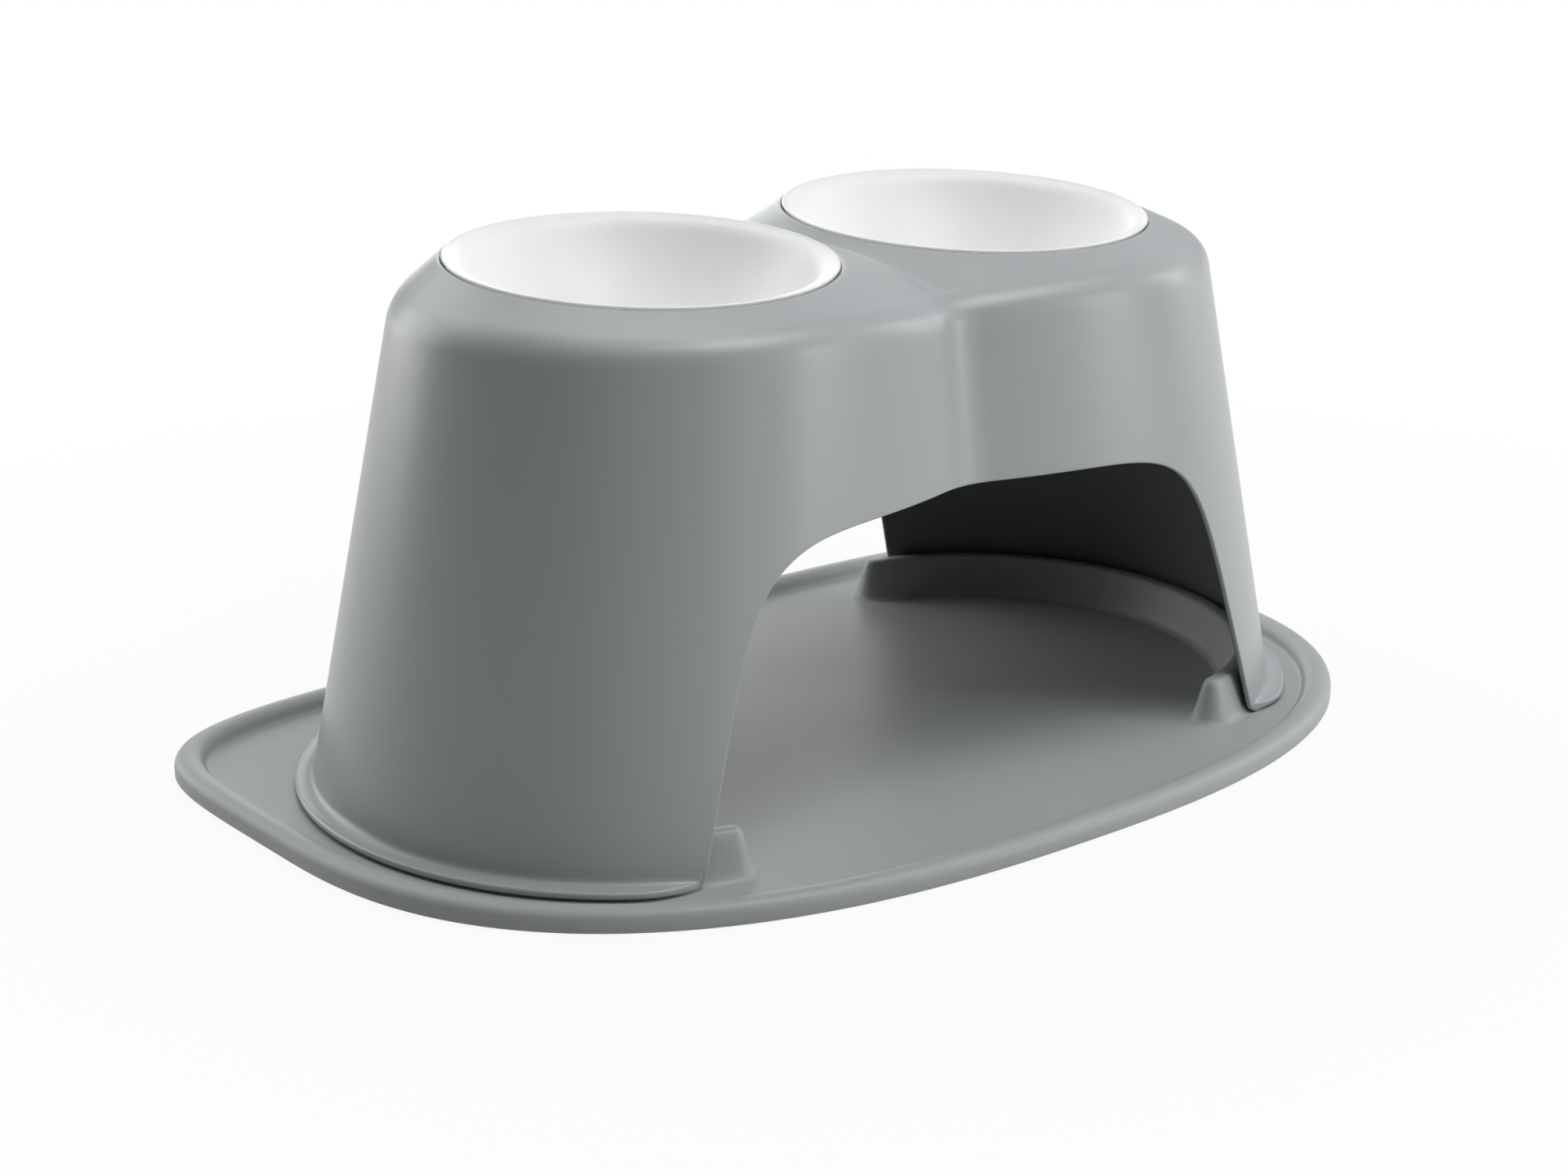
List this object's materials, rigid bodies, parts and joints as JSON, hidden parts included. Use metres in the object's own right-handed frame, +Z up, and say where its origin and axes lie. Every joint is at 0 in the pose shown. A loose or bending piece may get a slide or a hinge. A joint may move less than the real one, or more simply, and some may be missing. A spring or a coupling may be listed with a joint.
{
  "type": "double pet bowl",
  "caption": "Raised feeder: round dishes rest in tilted seats of a waisted, arched stand that stands over ridges on a bordered mat.",
  "frame": {"origin": "middle of the mat's underside, on the ground", "axes": "+X along the row of bowls, +Y from the front towards the straight back edge of the mat, +Z up"},
  "size_m": [0.606, 0.392, 0.2634],
  "materials": {
    "mat_rubber": "matt grey silicone-like rubber",
    "stand_plastic": "fine matt grey moulded plastic",
    "bowl_plastic": "glossy white moulded plastic"
  },
  "bodies": {
    "mat": {"mat": "mat_rubber"},
    "stand": {"stand": "stand_plastic"},
    "bowl_left": {"bowl_left": "bowl_plastic"},
    "bowl_right": {"bowl_right": "bowl_plastic"}
  },
  "joints": [
    {"name": "stand_lift", "type": "slide", "parent": "mat", "child": "stand", "axis": [0, 0, 1], "range_m": [0, 0.06]},
    {"name": "bowl_left_lift", "type": "slide", "parent": "stand", "child": "bowl_left", "axis": [0, -0.0576, 0.9983], "range_m": [0, 0.09]},
    {"name": "bowl_right_lift", "type": "slide", "parent": "stand", "child": "bowl_right", "axis": [0, -0.0576, 0.9983], "range_m": [0, 0.09]}
  ]
}
